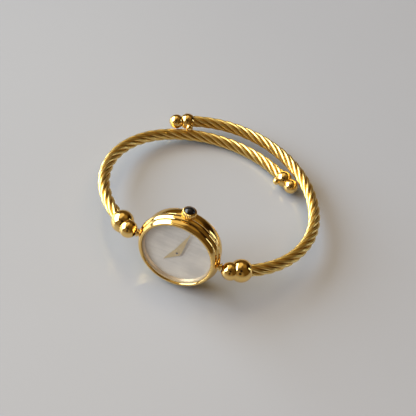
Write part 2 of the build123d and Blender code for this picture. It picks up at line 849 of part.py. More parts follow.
def cable_frame(arm, distance):
    """Point, direction and inward direction of a cable's middle, at a distance from its ferrule's centre."""
    out, back, heading = 0.0, 0.0, math.radians(arm["heading"])
    for radius, sweep in arm["bends"]:
        turn = min(math.radians(sweep), distance / radius)
        out += radius * (math.sin(heading + turn) - math.sin(heading))
        back += radius * (math.cos(heading) - math.cos(heading + turn))
        heading += turn
        distance -= turn * radius
    rise = math.radians(arm["rise"])
    sideways = Vector(arm["side"], 0, 0)
    backwards = Vector(0, math.cos(rise), math.sin(rise))
    point = ferrule_place(arm) + sideways * out + backwards * back
    direction = sideways * math.cos(heading) + backwards * math.sin(heading)
    inward = backwards * math.cos(heading) - sideways * math.sin(heading)
    return point, direction, inward


def cable_path(arm, start, end):
    """The middle line of a cable between two distances, as one arc for each bend."""
    stops = [start]
    reached = 0.0
    for radius, sweep in arm["bends"]:
        reached += radius * math.radians(sweep)
        if start < reached < end:
            stops.append(reached)
    stops.append(end)
    arcs = []
    for low, high in zip(stops, stops[1:]):
        points = [cable_frame(arm, at)[0] for at in (low, (low + high) / 2, high)]
        arcs.append(Edge.make_three_point_arc(*points))
    return Wire(arcs)


def tube(arm, radius, start, end):
    """A round bar along a cable's middle line."""
    point, direction, _ = cable_frame(arm, start)
    section = Plane(origin=point, z_dir=direction) * Circle(radius)
    return sweep(section, path=cable_path(arm, start, end))


lay_cosine = math.cos(math.radians(lay_angle))
strand_share = lay_cosine * math.sin(math.pi / strand_count)
strand_offset = (cable_radius + lay_cosine * strand_gap / 2) / (1 + strand_share)
strand_radius = cable_radius - strand_offset
core_radius = strand_offset - strand_radius - strand_gap
lay_pitch = 2 * math.pi * strand_offset / math.tan(math.radians(lay_angle))


def strand_point(arm, distance, start_angle):
    """A point on a strand's middle line, which winds right-handed round the cable's."""
    point, direction, inward = cable_frame(arm, distance)
    angle = math.radians(start_angle) + 2 * math.pi * distance / lay_pitch
    upward = direction.cross(inward)
    return point + (inward * math.cos(angle) + upward * math.sin(angle)) * strand_offset


def strand_direction(arm, distance, start_angle):
    """The direction of a strand's middle line, from two points close together."""
    step = strand_radius * tangent_share
    ahead = strand_point(arm, distance + step, start_angle)
    behind = strand_point(arm, distance - step, start_angle)
    return (ahead - behind).normalized()


def biarc(start, start_direction, end, end_direction):
    """Two arcs that leave and arrive in given directions and meet in one tangent."""
    chord = end - start
    reach = start_direction + end_direction
    bend = 2 * (1 - start_direction.dot(end_direction))
    along = chord.dot(reach)
    handle = (math.sqrt(along ** 2 + bend * chord.dot(chord)) - along) / bend
    middle = (start + start_direction * handle + end - end_direction * handle) / 2
    first = Edge.make_tangent_arc(start, start_direction, middle)
    second = Edge.make_tangent_arc(middle, first.tangent_at(1), end)
    return [first, second]


def make_strand(arm, start_angle, start, end):
    """One strand, swept along biarcs of about a quarter of a turn."""
    steps = math.ceil((end - start) / (lay_pitch / turn_steps))
    stops = [start + (end - start) * step / steps for step in range(steps + 1)]
    points = [strand_point(arm, at, start_angle) for at in stops]
    directions = [strand_direction(arm, at, start_angle) for at in stops]
    arcs = []
    for low in range(steps):
        arcs += biarc(points[low], directions[low], points[low + 1], directions[low + 1])
    section = Plane(origin=points[0], z_dir=directions[0]) * Circle(strand_radius)
    return sweep(section, path=Wire(arcs))


def make_strands(arm):
    start = fit_gap
    end = arm_length(arm) - fit_gap
    turns = [360 * strand / strand_count for strand in range(strand_count)]
    return Compound(children=[make_strand(arm, turn, start, end) for turn in turns])


def make_core(arm):
    return tube(arm, core_radius, fit_gap, arm_length(arm) - fit_gap)


def waist(first_radius, second_radius, distance):
    """How far from the first of two overlapping beads their waist lies."""
    return (distance ** 2 + first_radius ** 2 - second_radius ** 2) / (2 * distance)


def half_space(point, direction, size):
    """A large block on the far side of a plane through a point."""
    frame = Plane(origin=point, z_dir=direction)
    return frame.location * Box(size, size, size, align=(Align.CENTER, Align.CENTER, Align.MIN))


def bead(centre, radius, axis):
    """A ball turned about an axis."""
    return Plane(origin=centre, z_dir=axis).location * Sphere(radius)


def bead_pair(first_centre, first_radius, first_axis, second_centre, second_radius, second_axis):
    """Two overlapping beads, each cut off at the waist between them."""
    link = second_centre - first_centre
    direction = link.normalized()
    cut = first_centre + direction * waist(first_radius, second_radius, link.length)
    size = 2 * (first_radius + second_radius)
    first = bead(first_centre, first_radius, first_axis) - half_space(cut, direction, size)
    second = bead(second_centre, second_radius, second_axis) - half_space(cut, direction * -1, size)
    return first, second


def tongue_shape(arm, half_height, half_width, eye_radius, start):
    """A flat tongue from near the neck to a round eye about the hinge."""
    centre = knuckle_place(arm)
    eye = Pos(centre) * Cylinder(eye_radius, 2 * half_height)
    low, high = sorted((arm["side"] * start, centre.X))
    return eye + block((low, centre.Y - half_width, -half_height), (high, centre.Y + half_width, half_height))


def neck_end():
    return knuckle_reach - knuckle_radius - neck_end_gap


def make_neck(arm):
    frame = Plane(origin=(0, -neck_level, 0), x_dir=(0, 1, 0), z_dir=(arm["side"], 0, 0))
    end = neck_end()
    neck = frame.location * disc(neck_radius, neck_seat, end)
    neck += frame.location * disc(neck_collar_radius, end - neck_collar_width, end)
    neck += tongue_shape(arm, tongue_half_height, tongue_half_width, tongue_eye_radius, end)
    bore_height = 2 * (tongue_half_height + overrun)
    return neck - Pos(knuckle_place(arm)) * Cylinder(hinge_pin_radius + running_gap, bore_height)


def make_hinge_pin(arm):
    return Pos(knuckle_place(arm)) * Cylinder(hinge_pin_radius, 2 * hinge_pin_half_length)


def make_lug_beads(arm):
    """The knuckle bead, slotted for the tongue, and the ferrule bead, bored for the cable."""
    _, direction, _ = cable_frame(arm, 0)
    knuckle, ferrule = bead_pair(knuckle_place(arm), knuckle_radius, Vector(0, 0, 1),
                                 ferrule_place(arm), ferrule_radius, direction)
    slot = tongue_shape(arm, tongue_half_height + tongue_gap, tongue_half_width + tongue_gap,
                        tongue_eye_radius + tongue_gap, neck_end() - overrun)
    hinge = Axis(knuckle_place(arm), (0, 0, 1))
    for step in range(slot_steps):
        swing = -swing_margin + (arm_swing + 2 * swing_margin) * step / (slot_steps - 1)
        knuckle -= slot.rotate(hinge, arm["side"] * swing)
    knuckle -= Pos(knuckle_place(arm)) * Cylinder(hinge_pin_radius + fit_gap,
                                                   2 * (hinge_pin_half_length + fit_gap))
    ferrule -= tube(arm, cable_radius + bore_gap, 0, ferrule_radius + overrun)
    return knuckle, ferrule


def make_ball_end(arm):
    """The end bead, bored for the cable, the tip bead beyond it and the ball on its inner side."""
    length = arm_length(arm)
    centre, direction, inward = cable_frame(arm, length)
    tip_centre = centre + direction * tip_bead_reach
    end_bead, tip_bead = bead_pair(centre, end_bead_radius, direction,
                                   tip_centre, tip_bead_radius, direction)
    end_bead -= tube(arm, cable_radius + bore_gap, length - end_bead_radius - overrun, length)
    ball_centre = centre + inward * end_ball_reach
    ball = Pos(ball_centre) * Sphere(end_ball_radius)
    end_bead -= Pos(ball_centre) * Sphere(end_ball_radius + fit_gap)
    return end_bead, tip_bead, ball


# How the watch lies: on its rib, on the left arm's end bead and on the back of the left arm's cable

search_points = 200
search_share = 0.75
first_slope_share = 0.2
slope_rounds = 40


def resting_slopes():
    """The floor's slopes in the bangle frame, sideways and backwards, when it touches all three."""
    length = arm_length(left_arm)
    steps = [search_share * step / search_points for step in range(search_points)]
    places = [cable_frame(left_arm, length * step)[0] for step in steps]
    bead_place = cable_frame(left_arm, length)[0]
    rib_curve_radius = ((rib_height / 2) ** 2 + rib_swell ** 2) / (2 * rib_swell)
    rib_curve_centre = rib_crest_radius - rib_curve_radius
    sideways, backwards = 0.0, first_slope_share
    for _ in range(slope_rounds):
        steepness = math.sqrt(1 + sideways ** 2 + backwards ** 2)
        case_drop = rib_curve_centre * math.sqrt(1 + sideways ** 2) + rib_curve_radius * steepness
        lowest = max(places, key=lambda place: sideways * place.X + backwards * place.Y)
        first_rise = case_drop - end_bead_radius * steepness
        second_rise = case_drop - cable_radius * steepness
        first_back = bead_place.Y + rib_level
        second_back = lowest.Y + rib_level
        spread = bead_place.X * second_back - lowest.X * first_back
        new_sideways = (first_rise * second_back - second_rise * first_back) / spread
        new_backwards = (bead_place.X * second_rise - lowest.X * first_rise) / spread
        sideways = (sideways + new_sideways) / 2
        backwards = (backwards + new_backwards) / 2
    return sideways, backwards


floor_sideways, floor_backwards = resting_slopes()
up_in_bangle = Vector(-floor_sideways, -floor_backwards, 1).normalized()
tip_back = math.asin(-up_in_bangle.Y)
tip_side = math.asin(-up_in_bangle.X / math.cos(tip_back))

level_y = Vector(0, math.cos(tip_back), -math.sin(tip_back))
untipped_z = Vector(0, math.sin(tip_back), math.cos(tip_back))
level_x = Vector(math.cos(tip_side), 0, 0) - untipped_z * math.sin(tip_side)
tipped_frame = Plane(origin=(0, 0, 0), x_dir=level_x, z_dir=level_x.cross(level_y))


# All the pieces, each in its own file

coil_pad_reach = stator_half_length - stator_arm_width / 2
clamp_foot_place = away(battery_place, clamp_reach, clamp_bearing)


def dial_pieces():
    return {
        "case_band": make_case_band(), "bezel": make_bezel(), "crystal": make_crystal(),
        "crystal_gasket": make_crystal_gasket(), "flange_ring": make_flange_ring(), "dial": make_dial(),
        "case_back": make_case_back(), "case_back_gasket": make_case_back_gasket(),
        "movement_ring": make_movement_ring(), "main_plate": make_main_plate(),
        "train_bridge": make_train_bridge(), "circuit_board": make_circuit_board(),
        "stator": make_stator(), "coil_core": make_coil_core(), "coil_winding": make_coil_winding(),
        "battery": make_battery(), "battery_clamp": make_battery_clamp(), "quartz_can": make_quartz_can(),
        "chip": make_chip(), "movement_screws": make_screws(), "centre_wheel": make_centre_wheel(),
        "third_wheel": make_third_wheel(), "intermediate_wheel": make_intermediate_wheel(),
        "rotor": make_rotor(), "minute_wheel": make_minute_wheel(), "hour_wheel": make_hour_wheel(),
        "hour_hand": make_hour_hand(), "minute_hand": make_minute_hand(), "crown_tube": make_crown_tube(),
        "crown": make_crown(), "crown_cabochon": make_cabochon(), "crown_gasket": make_crown_gasket(),
        "winding_stem": make_stem(), "sliding_pinion": make_sliding_pinion(),
        "pull_out_piece": make_pull_out_piece()}


def arm_pieces(arm, name):
    knuckle, ferrule = make_lug_beads(arm)
    end_bead, tip_bead, ball = make_ball_end(arm)
    return {
        name + "_lug_neck": make_neck(arm), name + "_hinge_pin": make_hinge_pin(arm),
        name + "_knuckle_bead": knuckle, name + "_ferrule_bead": ferrule,
        name + "_cable_core": make_core(arm), name + "_cable_strands": make_strands(arm),
        name + "_end_bead": end_bead, name + "_tip_bead": tip_bead, name + "_end_ball": ball}


pieces = {name: dial_frame.location * shape for name, shape in dial_pieces().items()}
pieces.update(arm_pieces(left_arm, "left"))
pieces.update(arm_pieces(right_arm, "right"))
pieces = {name: tipped_frame.location * shape for name, shape in pieces.items()}

bounds = Compound(list(pieces.values())).bounding_box()
to_origin = Pos(-bounds.center().X, -bounds.center().Y, -bounds.min.Z)
pieces = {name: to_origin * shape for name, shape in pieces.items()}

os.makedirs("parts", exist_ok=True)
for name, shape in pieces.items():
    export_step(shape, f"parts/{name}.step")


# Places that a drawing of the finished part would give, in its own frame

def from_bangle(point):
    """A point of the bangle frame in the finished part's frame."""
    placed = to_origin * tipped_frame.location * Pos(point)
    return placed.position


def from_dial(point):
    """A point of the dial frame in the finished part's frame."""
    placed = to_origin * tipped_frame.location * dial_frame.location * Pos(point)
    return placed.position


def show(label, vector):
    print(f"{label}: {vector.X:.6f} {vector.Y:.6f} {vector.Z:.6f}")


show("overall size", bounds.size)
show("bangle frame origin", from_bangle(Vector(0, 0, 0)))
show("bangle frame X", tipped_frame.x_dir)
show("bangle frame Y", tipped_frame.y_dir)
show("bangle frame Z", tipped_frame.z_dir)
show("left hinge", from_bangle(knuckle_place(left_arm)))
show("right hinge", from_bangle(knuckle_place(right_arm)))
show("crown line", from_dial((0, 0, crown_level)))
show("third wheel", from_dial((third_place[0], third_place[1], 0)))
show("intermediate wheel", from_dial((intermediate_place[0], intermediate_place[1], 0)))
show("rotor", from_dial((rotor_place[0], rotor_place[1], 0)))
show("minute wheel", from_dial((minute_wheel_place[0], minute_wheel_place[1], 0)))
show("case back face", from_dial((0, 0, back_outer_face)))
print(f"cable lengths: {arm_length(left_arm):.2f} {arm_length(right_arm):.2f}, lay pitch {lay_pitch:.2f}")
print(f"strand radius {strand_radius:.3f}, offset {strand_offset:.3f}, core radius {core_radius:.3f}")
print(f"tipped back {math.degrees(tip_back):.2f}, sideways {math.degrees(tip_side):.2f} degrees")
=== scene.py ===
import json
import math

import bmesh
import bpy
from mathutils import Matrix, Vector


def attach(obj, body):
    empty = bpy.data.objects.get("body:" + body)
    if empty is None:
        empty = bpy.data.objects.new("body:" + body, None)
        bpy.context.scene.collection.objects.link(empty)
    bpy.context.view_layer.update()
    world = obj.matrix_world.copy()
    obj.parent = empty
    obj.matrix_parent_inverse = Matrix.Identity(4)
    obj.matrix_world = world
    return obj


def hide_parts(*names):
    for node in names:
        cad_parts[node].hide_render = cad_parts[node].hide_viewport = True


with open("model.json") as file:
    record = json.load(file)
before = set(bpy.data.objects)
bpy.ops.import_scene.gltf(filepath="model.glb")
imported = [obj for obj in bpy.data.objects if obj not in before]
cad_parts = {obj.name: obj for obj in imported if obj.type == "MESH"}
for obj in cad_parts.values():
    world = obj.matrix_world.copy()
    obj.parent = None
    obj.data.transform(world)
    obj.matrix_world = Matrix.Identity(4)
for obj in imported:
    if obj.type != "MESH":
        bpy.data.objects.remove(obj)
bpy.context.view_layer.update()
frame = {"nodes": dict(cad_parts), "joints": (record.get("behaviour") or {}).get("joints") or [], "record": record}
record = frame["record"]

# Lengths are in millimetres and angles in degrees, and one matrix turns them into the frame's metres.
# Bangle frame: X from the 12 o'clock lug to the 6 o'clock lug, Y from the dial to the wrist, Z to the crown.
# Dial frame: X to 3 o'clock, Y to 12 o'clock, Z out of the dial.
millimetre = 0.001
half_turn = math.pi
full_turn = 2 * math.pi

# Case, as radii and heights over the middle of the case
fit_gap = 0.02
cavity_radius = 9.7
back_ring_radius = 11.2
back_ring_crest_radius = 11.5
rib_foot_radius = 11.7
rib_crest_radius = 12.2
front_height = 3.7
bezel_bottom = 2.0
rib_top = 1.94
rib_bottom = -0.16
back_ring_top = -0.26
back_face = -3.41

# Bezel, crystal, dial and the ring between them
bezel_bore_radius = 10.3
bezel_skirt_radius = 10.45
bezel_flank_swell = 0.15
rim_radius = 11.2
rim_shoulder = 3.35
crystal_radius = 10.12
crystal_top = 3.45
crystal_bottom = 2.75
crystal_bevel = 0.15
flange_outer_radius = 10.28
flange_wall = 0.2
dial_opening_radius = 9.82
dial_radius = 10.2
dial_top = 2.0
dial_bottom = 1.6
dial_hole_radius = 0.8

# Case back
back_radius = 10.45
back_outer_face = -3.81
back_bevel = 0.15
back_lip_wall = 0.36
back_lip_height = 0.8

# Hands
hour_hand_level = 2.18
minute_hand_level = 2.46
hand_thickness = 0.1
hand_edge_share = 0.45
hand_tip_half_width = 0.02
hand_hub_bevel = 0.05
hand_steps = 24
hour_hand_length = 5.6
minute_hand_length = 9.25
hour_hand_tail = 1.4
minute_hand_tail = 1.2
hand_half_width = 1.1
hand_shoulder = 0.6
hand_hub_radius = 1.0
hour_hand_angle = 309.0
minute_hand_angle = 105.6
hour_pipe_radius = 0.55
arbor_radius = 0.3

# Crown
crown_level = -0.4
crown_radius = 2.05
crown_base = 12.3
crown_tip = 14.05
crown_base_round = 0.4
crown_top_round = 0.42
crown_flutes = 24
flute_depth = 0.16
crown_recess_radius = 1.35
crown_recess_depth = 0.9
cabochon_radius = 1.5
cabochon_height = 1.25
cabochon_seat_depth = 0.45
stem_radius = 0.4
crown_corner_steps = 8
fluted_rows = range(3, 16)
cabochon_steps = 16

# Lugs and arms
neck_level = 1.0
knuckle_reach = 15.5
knuckle_radius = 2.63
ferrule_reach = 18.12
ferrule_set_back = 0.78
ferrule_radius = 3.33
slot_half_height = 0.61
slot_half_width = 0.61
slot_eye_radius = 0.84
slot_reach_share = 1.4
swing_low = -3.0
swing_high = 23.0
swing_steps = 8
eye_steps = 16
cable_radius = 1.8
bore_gap = 0.06
bore_lip = 0.12
bore_edge_share = 0.2
lip_middle_shares = (0.35, 0.25)
end_bead_radius = 2.55
tip_bead_radius = 2.25
tip_bead_reach = 3.7
end_ball_radius = 1.15
end_ball_reach = 2.95
strand_count = 6
strand_offset = 1.244
strand_radius = 0.556
lay_pitch = 20.05
wire_count = 8
wire_steps = 6
wire_groove = 0.03
wire_roundness = 0.7
# How strongly the wire grooves are darkened in the cable's colour, as painted shade
wire_groove_shade = 0.3
ring_spacing = 0.5
direction_step = 0.01
left_arm = {"name": "left", "body": "left_arm", "side": -1, "heading": 28.0, "rise": 0.0,
            "bends": ((26.6, 62.0), (25.2, 47.6), (32.9, 78.2))}
right_arm = {"name": "right", "body": "right_arm", "side": 1, "heading": 28.0, "rise": 3.45,
             "bends": ((26.2, 77.9), (34.8, 41.6), (31.9, 65.5))}

# How finely the meshes are made
case_segments = 384
crown_segments = 288
turned_segments = 256
bead_segments = 192
small_segments = 96
bow_steps = 20
knuckle_steps = 96
bead_steps = 72
small_ball_steps = 48
weld_distance = 0.0005
crease_angle = 40.0
hand_crease_angle = 20.0
strand_crease_angle = 50.0


# The two frames, from the record's mount and from the crown's axis

def bangle_matrix():
    mount = record["mounts"][0]
    crown = next(joint for joint in frame["joints"] if joint["name"] == "crown_pull")
    back = Vector(mount["axis"]).normalized()
    up = Vector(crown["axis"]).normalized()
    side = back.cross(up)
    origin = Vector(mount["pos_m"]) + back * back_outer_face * millimetre
    matrix = Matrix((side * millimetre, back * millimetre, up * millimetre)).transposed().to_4x4()
    matrix.translation = origin
    return matrix


to_row = bangle_matrix()
dial_axes = Matrix(((0, -1, 0), (0, 0, -1), (1, 0, 0))).to_4x4()
dial_to_row = to_row @ dial_axes


# Materials

# A grain is a noise's scale, per metre, and its detail. A pair of colours goes from dark to light.
mottle_ends = (0.3, 0.7)
mottle_detail = 4.0
wear_detail = 3.0
wear_depth = 0.02
# Painted shade in the cable's grooves: the range of its mask and the dark gold it paints
groove_shade_edges = (0.1, 0.6)
groove_shade_colour = (0.8, 0.52, 0.14)
cloud_grain = (160.0, 3.0)
cloud_colours = ((0.58, 0.545, 0.515), (0.74, 0.7, 0.64))
streak_grain = (220.0, 2.0)
streak_colours = ((0.86, 0.85, 0.86), (1.0, 1.0, 1.0))
streak_stretch = (0.35, 1.0, 5.0)
pearl_roughness = 0.28
lacquer_weight = 0.3
lacquer_roughness = 0.1
glass_tint = (0.96, 0.97, 0.98)
glass_roughness = 0.02
glass_alpha = 0.07


def new_material(name):
    material = bpy.data.materials.new(name)
    material.use_nodes = True
    return material, material.node_tree.nodes, material.node_tree.links


def noise_colour(nodes, links, scale, detail, low, high, stretch=(1, 1, 1)):
    """A noise, and a colour that wanders with it between two values over the surface."""
    place = nodes.new("ShaderNodeTexCoord")
    mapping = nodes.new("ShaderNodeMapping")
    mapping.inputs["Scale"].default_value = stretch
    noise = nodes.new("ShaderNodeTexNoise")
    noise.inputs["Scale"].default_value = scale
    noise.inputs["Detail"].default_value = detail
    ramp = nodes.new("ShaderNodeValToRGB")
    for stop, colour, position in zip(ramp.color_ramp.elements, (low, high), mottle_ends):
        stop.color = (*colour, 1)
        stop.position = position
    links.new(place.outputs["Object"], mapping.inputs["Vector"])
    links.new(mapping.outputs["Vector"], noise.inputs["Vector"])
    links.new(noise.outputs["Fac"], ramp.inputs["Fac"])
    return noise, ramp


def surface(name, low, high, metallic, rough_low, rough_high, scale, wear=0.0, wear_scale=400.0):
    """A finish whose colour and roughness vary gently, with fine wear in its bump."""
    material, nodes, links = new_material(name)
    shader = nodes["Principled BSDF"]
    shader.inputs["Metallic"].default_value = metallic
    noise, ramp = noise_colour(nodes, links, scale, mottle_detail, low, high)
    links.new(ramp.outputs["Color"], shader.inputs["Base Color"])
    spread = nodes.new("ShaderNodeMapRange")
    spread.inputs["To Min"].default_value = rough_low
    spread.inputs["To Max"].default_value = rough_high
    links.new(noise.outputs["Fac"], spread.inputs["Value"])
    links.new(spread.outputs["Result"], shader.inputs["Roughness"])
    if wear:
        grain = nodes.new("ShaderNodeTexNoise")
        grain.inputs["Scale"].default_value = wear_scale
        grain.inputs["Detail"].default_value = wear_detail
        relief = nodes.new("ShaderNodeBump")
        relief.inputs["Strength"].default_value = wear
        relief.inputs["Distance"].default_value = wear_depth * millimetre
        place = nodes.new("ShaderNodeTexCoord")
        links.new(place.outputs["Object"], grain.inputs["Vector"])
        links.new(grain.outputs["Fac"], relief.inputs["Height"])
        links.new(relief.outputs["Normal"], shader.inputs["Normal"])
    return material


def paint_groove_shade(material):
    """Paints shade into the metal's colour where the strands of a cable turn in towards each other, and in the
    grooves between their wires.
    """
    nodes, links = material.node_tree.nodes, material.node_tree.links
    shader = nodes["Principled BSDF"]
    colour = shader.inputs["Base Color"].links[0].from_socket
    painted_light_share = nodes.new("ShaderNodeAttribute")
    painted_light_share.attribute_name = "painted_light_share"
    spread = nodes.new("ShaderNodeMapRange")
    spread.inputs["From Min"].default_value, spread.inputs["From Max"].default_value = groove_shade_edges
    mix = nodes.new("ShaderNodeMix")
    mix.data_type = "RGBA"
    mix.inputs["A"].default_value = (*groove_shade_colour, 1)
    links.new(painted_light_share.outputs["Fac"], spread.inputs["Value"])
    links.new(spread.outputs["Result"], mix.inputs["Factor"])
    links.new(colour, mix.inputs["B"])
    links.new(mix.outputs["Result"], shader.inputs["Base Color"])


# Each finish: its darkest and lightest colour, how metallic it is, its least and most roughness, how fine
# its mottling is, and the strength and fineness of its wear
gold = surface("polished_gold", (0.9, 0.6, 0.19), (0.96, 0.66, 0.24), 1.0, 0.07, 0.11, 260.0, 0.12, 900.0)
pale_gold = surface("pale_gold", (0.82, 0.64, 0.42), (0.87, 0.69, 0.47), 1.0, 0.32, 0.4, 260.0, 0.1, 900.0)
cable_gold = surface("cable_gold", (0.92, 0.66, 0.22), (0.99, 0.74, 0.28), 1.0, 0.26, 0.32, 500.0, 0.08,
                     1500.0)
# The cable's colour gets painted shade, a darker gold where its strands turn inwards
paint_groove_shade(cable_gold)
# The cable's core is a dark brown gold: painted shade for the hollow between the strands
shaded_core_gold = surface("shaded_core_gold", (0.3, 0.17, 0.03), (0.4, 0.22, 0.05), 1.0, 0.4, 0.5, 500.0)
hand_gold = surface("hand_gold", (0.7, 0.52, 0.24), (0.78, 0.59, 0.29), 1.0, 0.36, 0.44, 700.0, 0.1, 2500.0)
steel = surface("steel", (0.5, 0.5, 0.5), (0.62, 0.62, 0.62), 1.0, 0.25, 0.4, 300.0, 0.1, 1500.0)
clear_gasket = surface("clear_gasket", (0.42, 0.32, 0.17), (0.5, 0.39, 0.22), 0.0, 0.3, 0.4, 400.0)
dark_steel = surface("dark_steel", (0.1, 0.1, 0.12), (0.16, 0.16, 0.18), 1.0, 0.3, 0.4, 500.0)
rubber = surface("rubber", (0.02, 0.02, 0.02), (0.04, 0.04, 0.04), 0.0, 0.6, 0.75, 400.0)
plate_brass = surface("plate_brass", (0.6, 0.45, 0.2), (0.7, 0.55, 0.28), 1.0, 0.3, 0.42, 300.0, 0.1, 1200.0)
white_plastic = surface("white_plastic", (0.72, 0.71, 0.67), (0.8, 0.79, 0.75), 0.0, 0.45, 0.6, 300.0)
board_green = surface("board_green", (0.02, 0.12, 0.05), (0.03, 0.17, 0.07), 0.0, 0.3, 0.45, 300.0)
copper = surface("copper_wire", (0.5, 0.2, 0.07), (0.62, 0.27, 0.1), 0.9, 0.3, 0.4, 900.0, 0.4, 3000.0)
black_resin = surface("black_resin", (0.015, 0.015, 0.015), (0.03, 0.03, 0.03), 0.0, 0.4, 0.5, 500.0)
magnet_grey = surface("magnet_grey", (0.1, 0.1, 0.11), (0.16, 0.16, 0.17), 0.8, 0.4, 0.55, 500.0)
black_stone = surface("black_stone", (0.004, 0.004, 0.005), (0.008, 0.008, 0.01), 0.0, 0.03, 0.06, 300.0)


def make_pearl():
    """Grey mother-of-pearl lacquer: soft cloudy patches with faint streaks."""
    material, nodes, links = new_material("pearl")
    shader = nodes["Principled BSDF"]
    shader.inputs["Roughness"].default_value = pearl_roughness
    shader.inputs["Coat Weight"].default_value = lacquer_weight
    shader.inputs["Coat Roughness"].default_value = lacquer_roughness
    _, cloud = noise_colour(nodes, links, *cloud_grain, *cloud_colours)
    _, streak = noise_colour(nodes, links, *streak_grain, *streak_colours, streak_stretch)
    mix = nodes.new("ShaderNodeMix")
    mix.data_type = "RGBA"
    mix.blend_type = "MULTIPLY"
    mix.inputs["Factor"].default_value = 1.0
    links.new(cloud.outputs["Color"], mix.inputs["A"])
    links.new(streak.outputs["Color"], mix.inputs["B"])
    links.new(mix.outputs["Result"], shader.inputs["Base Color"])
    return material


def make_crystal():
    """Clear glass that lets the light straight through to the dial."""
    material, nodes, links = new_material("crystal_glass")
    shader = nodes["Principled BSDF"]
    shader.inputs["Base Color"].default_value = (*glass_tint, 1)
    shader.inputs["Roughness"].default_value = glass_roughness
    shader.inputs["Alpha"].default_value = glass_alpha
    return material


pearl = make_pearl()
crystal_glass = make_crystal()


# Mesh helpers

def tidy_mesh(mesh):
    """Welds doubled points and turns the faces outwards."""
    clean = bmesh.new()
    clean.from_mesh(mesh)
    bmesh.ops.remove_doubles(clean, verts=clean.verts, dist=weld_distance * millimetre)
    bmesh.ops.recalc_face_normals(clean, faces=clean.faces)
    clean.to_mesh(mesh)
    clean.free()


def smooth_mesh(mesh, sharp):
    """Shades the faces as one, apart from edges that turn by more than the sharp angle."""
    mesh.polygons.foreach_set("use_smooth", [True] * len(mesh.polygons))
    mesh.set_sharp_from_angle(angle=math.radians(sharp))


def new_mesh(name, points, faces, matrix):
    """A mesh in the row frame, from points in millimetres."""
    mesh = bpy.data.meshes.new(name)
    mesh.from_pydata([matrix @ Vector(point) for point in points], [], faces)
    return mesh


def new_object(name, data):
    item = bpy.data.objects.new(name, data)
    bpy.context.scene.collection.objects.link(item)
    return item


def finish_piece(name, mesh, material, body, nodes, sharp=crease_angle):
    """A piece that rides on a CAD body, in place of the CAD nodes it names."""
    tidy_mesh(mesh)
    smooth_mesh(mesh, sharp)
    mesh.materials.append(material)
    piece = new_object(name, mesh)
    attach(piece, body)
    if nodes:
        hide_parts(*nodes)
    return piece


def arc(centre, radius, start, end, steps):
    """Points of an arc in a profile, as radius and height."""
    angles = [math.radians(start + (end - start) * step / steps) for step in range(steps + 1)]
    return [(centre[0] + radius * math.cos(angle), centre[1] + radius * math.sin(angle)) for angle in angles]


def lathe(profile, segments, closed, wave=None):
    """Points and faces of a profile of radius and height turned about Z, less the depth of a wave."""
    points, faces = [], []
    for step in range(segments):
        angle = full_turn * step / segments
        for index, (radius, height) in enumerate(profile):
            reach = radius - (wave(angle, index) if wave else 0)
            points.append((reach * math.cos(angle), reach * math.sin(angle), height))
    count = len(profile)
    for step in range(segments):
        here, there = step * count, (step + 1) % segments * count
        for index in range(count if closed else count - 1):
            after = (index + 1) % count
            faces.append((here + index, there + index, there + after, here + after))
    return points, faces


def turned_piece(name, profile, matrix, material, body, nodes=(), segments=turned_segments,
                 sharp=crease_angle, wave=None, closed=True):
    """A piece turned from a profile, which joins up by itself or, where it isn't closed, on the axis."""
    points, faces = lathe(profile, segments, closed, wave)
    finish_piece(name, new_mesh(name, points, faces, matrix), material, body, nodes, sharp)


def bow(start, middle, end):
    """Points of the arc through three points of a profile."""
    (x1, y1), (x2, y2), (x3, y3) = start, middle, end
    twice = 2 * (x1 * (y2 - y3) + x2 * (y3 - y1) + x3 * (y1 - y2))
    squares = [x * x + y * y for x, y in (start, middle, end)]
    centre_x = (squares[0] * (y2 - y3) + squares[1] * (y3 - y1) + squares[2] * (y1 - y2)) / twice
    centre_y = (squares[0] * (x3 - x2) + squares[1] * (x1 - x3) + squares[2] * (x2 - x1)) / twice
    first = math.degrees(math.atan2(y1 - centre_y, x1 - centre_x))
    last = math.degrees(math.atan2(y3 - centre_y, x3 - centre_x))
    radius = math.hypot(x1 - centre_x, y1 - centre_y)
    return arc((centre_x, centre_y), radius, first, last, bow_steps)


def rib(top, bottom, foot, crest):
    """The rounded outside of a rib or ring of the case, from its top to its bottom."""
    return bow((foot, top), (crest, (top + bottom) / 2), (foot, bottom))


# Case

def make_case_band():
    """The ring round the works, with its broad rib and the ring behind that."""
    seat = bezel_skirt_radius + fit_gap
    profile = [(seat, rib_top)]
    profile += rib(rib_top, rib_bottom, rib_foot_radius, rib_crest_radius)
    profile += [(back_ring_radius, rib_bottom)]
    profile += rib(back_ring_top, back_face, back_ring_radius, back_ring_crest_radius)
    profile += [(cavity_radius, back_face), (cavity_radius, dial_bottom), (seat, dial_bottom)]
    turned_piece("case_band_turned", profile, dial_to_row, gold, "head", ("case_band",),
                 case_segments)


def make_bezel():
    """The rounded front rim, the flank that slopes down to the rib, and the skirt inside the band."""
    rim_middle = ((bezel_bore_radius + rim_radius) / 2, front_height)
    flank_middle = ((rim_radius + rib_foot_radius) / 2 + bezel_flank_swell,
                    (rim_shoulder + bezel_bottom) / 2)
    rim_edge = (rim_radius, rim_shoulder)
    low = dial_bottom + fit_gap
    profile = [(bezel_skirt_radius, low), (bezel_bore_radius, low)]
    profile += bow((bezel_bore_radius, rim_shoulder), rim_middle, rim_edge)
    profile += bow(rim_edge, flank_middle, (rib_foot_radius, bezel_bottom))[1:]
    profile += [(bezel_skirt_radius, bezel_bottom)]
    turned_piece("bezel_turned", profile, dial_to_row, gold, "head", ("bezel",), case_segments)


